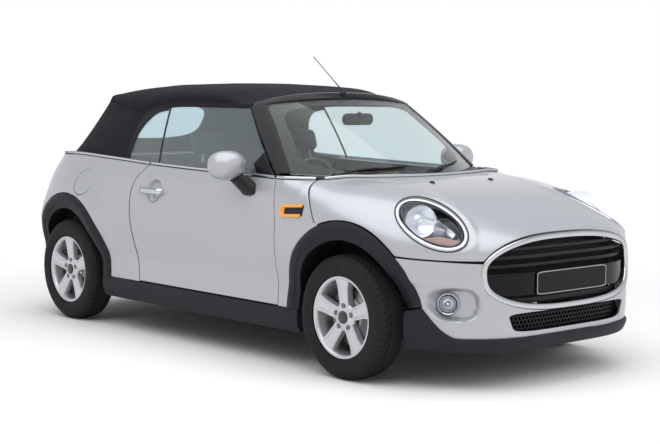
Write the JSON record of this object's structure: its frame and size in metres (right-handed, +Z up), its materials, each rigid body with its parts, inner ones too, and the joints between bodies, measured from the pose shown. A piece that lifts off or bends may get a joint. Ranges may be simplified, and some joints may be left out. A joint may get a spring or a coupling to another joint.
{
  "type": "convertible car",
  "caption": "Small two-door convertible car, silver, with a black soft top, charcoal arch trims and alloy wheels.",
  "frame": {"origin": "ground level under the middle of the overall length and width", "axes": "+X forward along the car, +Y to the car's left, +Z up"},
  "size_m": [3.8172, 1.9254, 1.5921],
  "materials": {
    "body_paint": "metallic silver lacquer",
    "charcoal_plastic": "satin grained",
    "black_plastic": "gloss black",
    "cabin_plastic": "soft black",
    "chrome_trim": "polished",
    "clear_glass": "lightly tinted",
    "lamp_lens": "clear lens",
    "amber_lens": "clear amber",
    "red_lens": "clear red",
    "hood_cloth": "woven black",
    "seat_cloth": "woven charcoal",
    "steel_under": "black primer",
    "running_gear": "bare cast",
    "alloy": "silver lacquer",
    "tyre_rubber": "moulded"
  },
  "bodies": {
    "car_body": {"floor_pan": "steel_under", "floor_tunnel": "steel_under", "floor_sills": "steel_under", "front_rails": "steel_under", "rear_floor": "steel_under", "bulkheads": "steel_under", "wheel_houses": "cabin_plastic", "engine": "running_gear", "front_suspension": "running_gear", "rear_suspension": "running_gear", "exhaust": "steel_under", "front_bumper": "body_paint", "front_skirt": "charcoal_plastic", "grille_ring": "chrome_trim", "grilles": "black_plastic", "headlamps": "lamp_lens", "fog_lamps": "chrome_trim", "front_wings": "body_paint", "side_indicators": "amber_lens", "windscreen_frame": "black_plastic", "windscreen": "clear_glass", "scuttle": "cabin_plastic", "wipers": "cabin_plastic", "antenna": "cabin_plastic", "dashboard": "cabin_plastic", "interior_mirror": "cabin_plastic", "front_seats": "seat_cloth", "rear_seat": "seat_cloth", "quarter_panels": "body_paint", "arch_trims": "charcoal_plastic", "sill_trims": "charcoal_plastic", "soft_top_roof": "hood_cloth", "soft_top_rear": "hood_cloth", "quarter_glass": "clear_glass", "rear_bumper": "body_paint", "tail_lamps": "red_lens"},
    "bonnet": {"bonnet": "body_paint", "bonnet_hinges": "steel_under", "headlamp_rings": "chrome_trim"},
    "boot_lid": {"boot_lid": "body_paint"},
    "fuel_flap": {"fuel_flap": "body_paint"},
    "steering_wheel": {"steering_wheel": "cabin_plastic"},
    "door_right": {"door_right": "body_paint", "door_glass_right": "clear_glass", "mirror_right": "body_paint"},
    "door_left": {"door_left": "body_paint", "door_glass_left": "clear_glass", "mirror_left": "body_paint"},
    "knuckle_right": {"knuckle_right": "running_gear"},
    "knuckle_left": {"knuckle_left": "running_gear"},
    "wheel_fr": {"wheel_fr": "alloy", "tyre_fr": "tyre_rubber"},
    "wheel_fl": {"wheel_fl": "alloy", "tyre_fl": "tyre_rubber"},
    "wheel_rr": {"wheel_rr": "alloy", "tyre_rr": "tyre_rubber"},
    "wheel_rl": {"wheel_rl": "alloy", "tyre_rl": "tyre_rubber"}
  },
  "joints": [
    {"name": "steer_right", "type": "hinge", "parent": "car_body", "child": "knuckle_right", "pos_m": [1.15, -0.69, 0.304], "axis": [0, 0, 1], "range_deg": [-33, 33]},
    {"name": "steer_left", "type": "hinge", "parent": "car_body", "child": "knuckle_left", "pos_m": [1.15, 0.69, 0.304], "axis": [0, 0, 1], "range_deg": [-33, 33]},
    {"name": "steering_turn", "type": "hinge", "parent": "car_body", "child": "steering_wheel", "pos_m": [0.36, -0.36, 0.845], "axis": [-0.9063, 0, 0.4226], "range_deg": [-429, 429]},
    {"name": "spin_fr", "type": "hinge", "parent": "knuckle_right", "child": "wheel_fr", "pos_m": [1.15, -0.7505, 0.304], "axis": [0, 1, 0], "continuous": true},
    {"name": "spin_fl", "type": "hinge", "parent": "knuckle_left", "child": "wheel_fl", "pos_m": [1.15, 0.7505, 0.304], "axis": [0, 1, 0], "continuous": true},
    {"name": "spin_rr", "type": "hinge", "parent": "car_body", "child": "wheel_rr", "pos_m": [-1.345, -0.7505, 0.304], "axis": [0, 1, 0], "continuous": true},
    {"name": "spin_rl", "type": "hinge", "parent": "car_body", "child": "wheel_rl", "pos_m": [-1.345, 0.7505, 0.304], "axis": [0, 1, 0], "continuous": true},
    {"name": "door_right_swing", "type": "hinge", "parent": "car_body", "child": "door_right", "pos_m": [0.672, -0.802, 0.59], "axis": [0, 0, 1], "range_deg": [0, 60]},
    {"name": "door_left_swing", "type": "hinge", "parent": "car_body", "child": "door_left", "pos_m": [0.672, 0.802, 0.59], "axis": [0, 0, -1], "range_deg": [0, 60]},
    {"name": "bonnet_lift", "type": "hinge", "parent": "car_body", "child": "bonnet", "pos_m": [0.74, 0, 0.905], "axis": [0, -1, 0], "range_deg": [0, 45]},
    {"name": "boot_lid_drop", "type": "hinge", "parent": "car_body", "child": "boot_lid", "pos_m": [-1.87428, 0, 0.63], "axis": [0, -1, 0], "range_deg": [0, 85]},
    {"name": "fuel_flap_swing", "type": "hinge", "parent": "car_body", "child": "fuel_flap", "pos_m": [-1.116, -0.80513, 0.84098], "axis": [0, 0.4309, 0.9024], "range_deg": [0, 58]}
  ],
  "couplings": [
    {"joint": "steer_left", "follows": "steer_right", "ratio": 1},
    {"joint": "steering_turn", "follows": "steer_right", "ratio": 13}
  ]
}
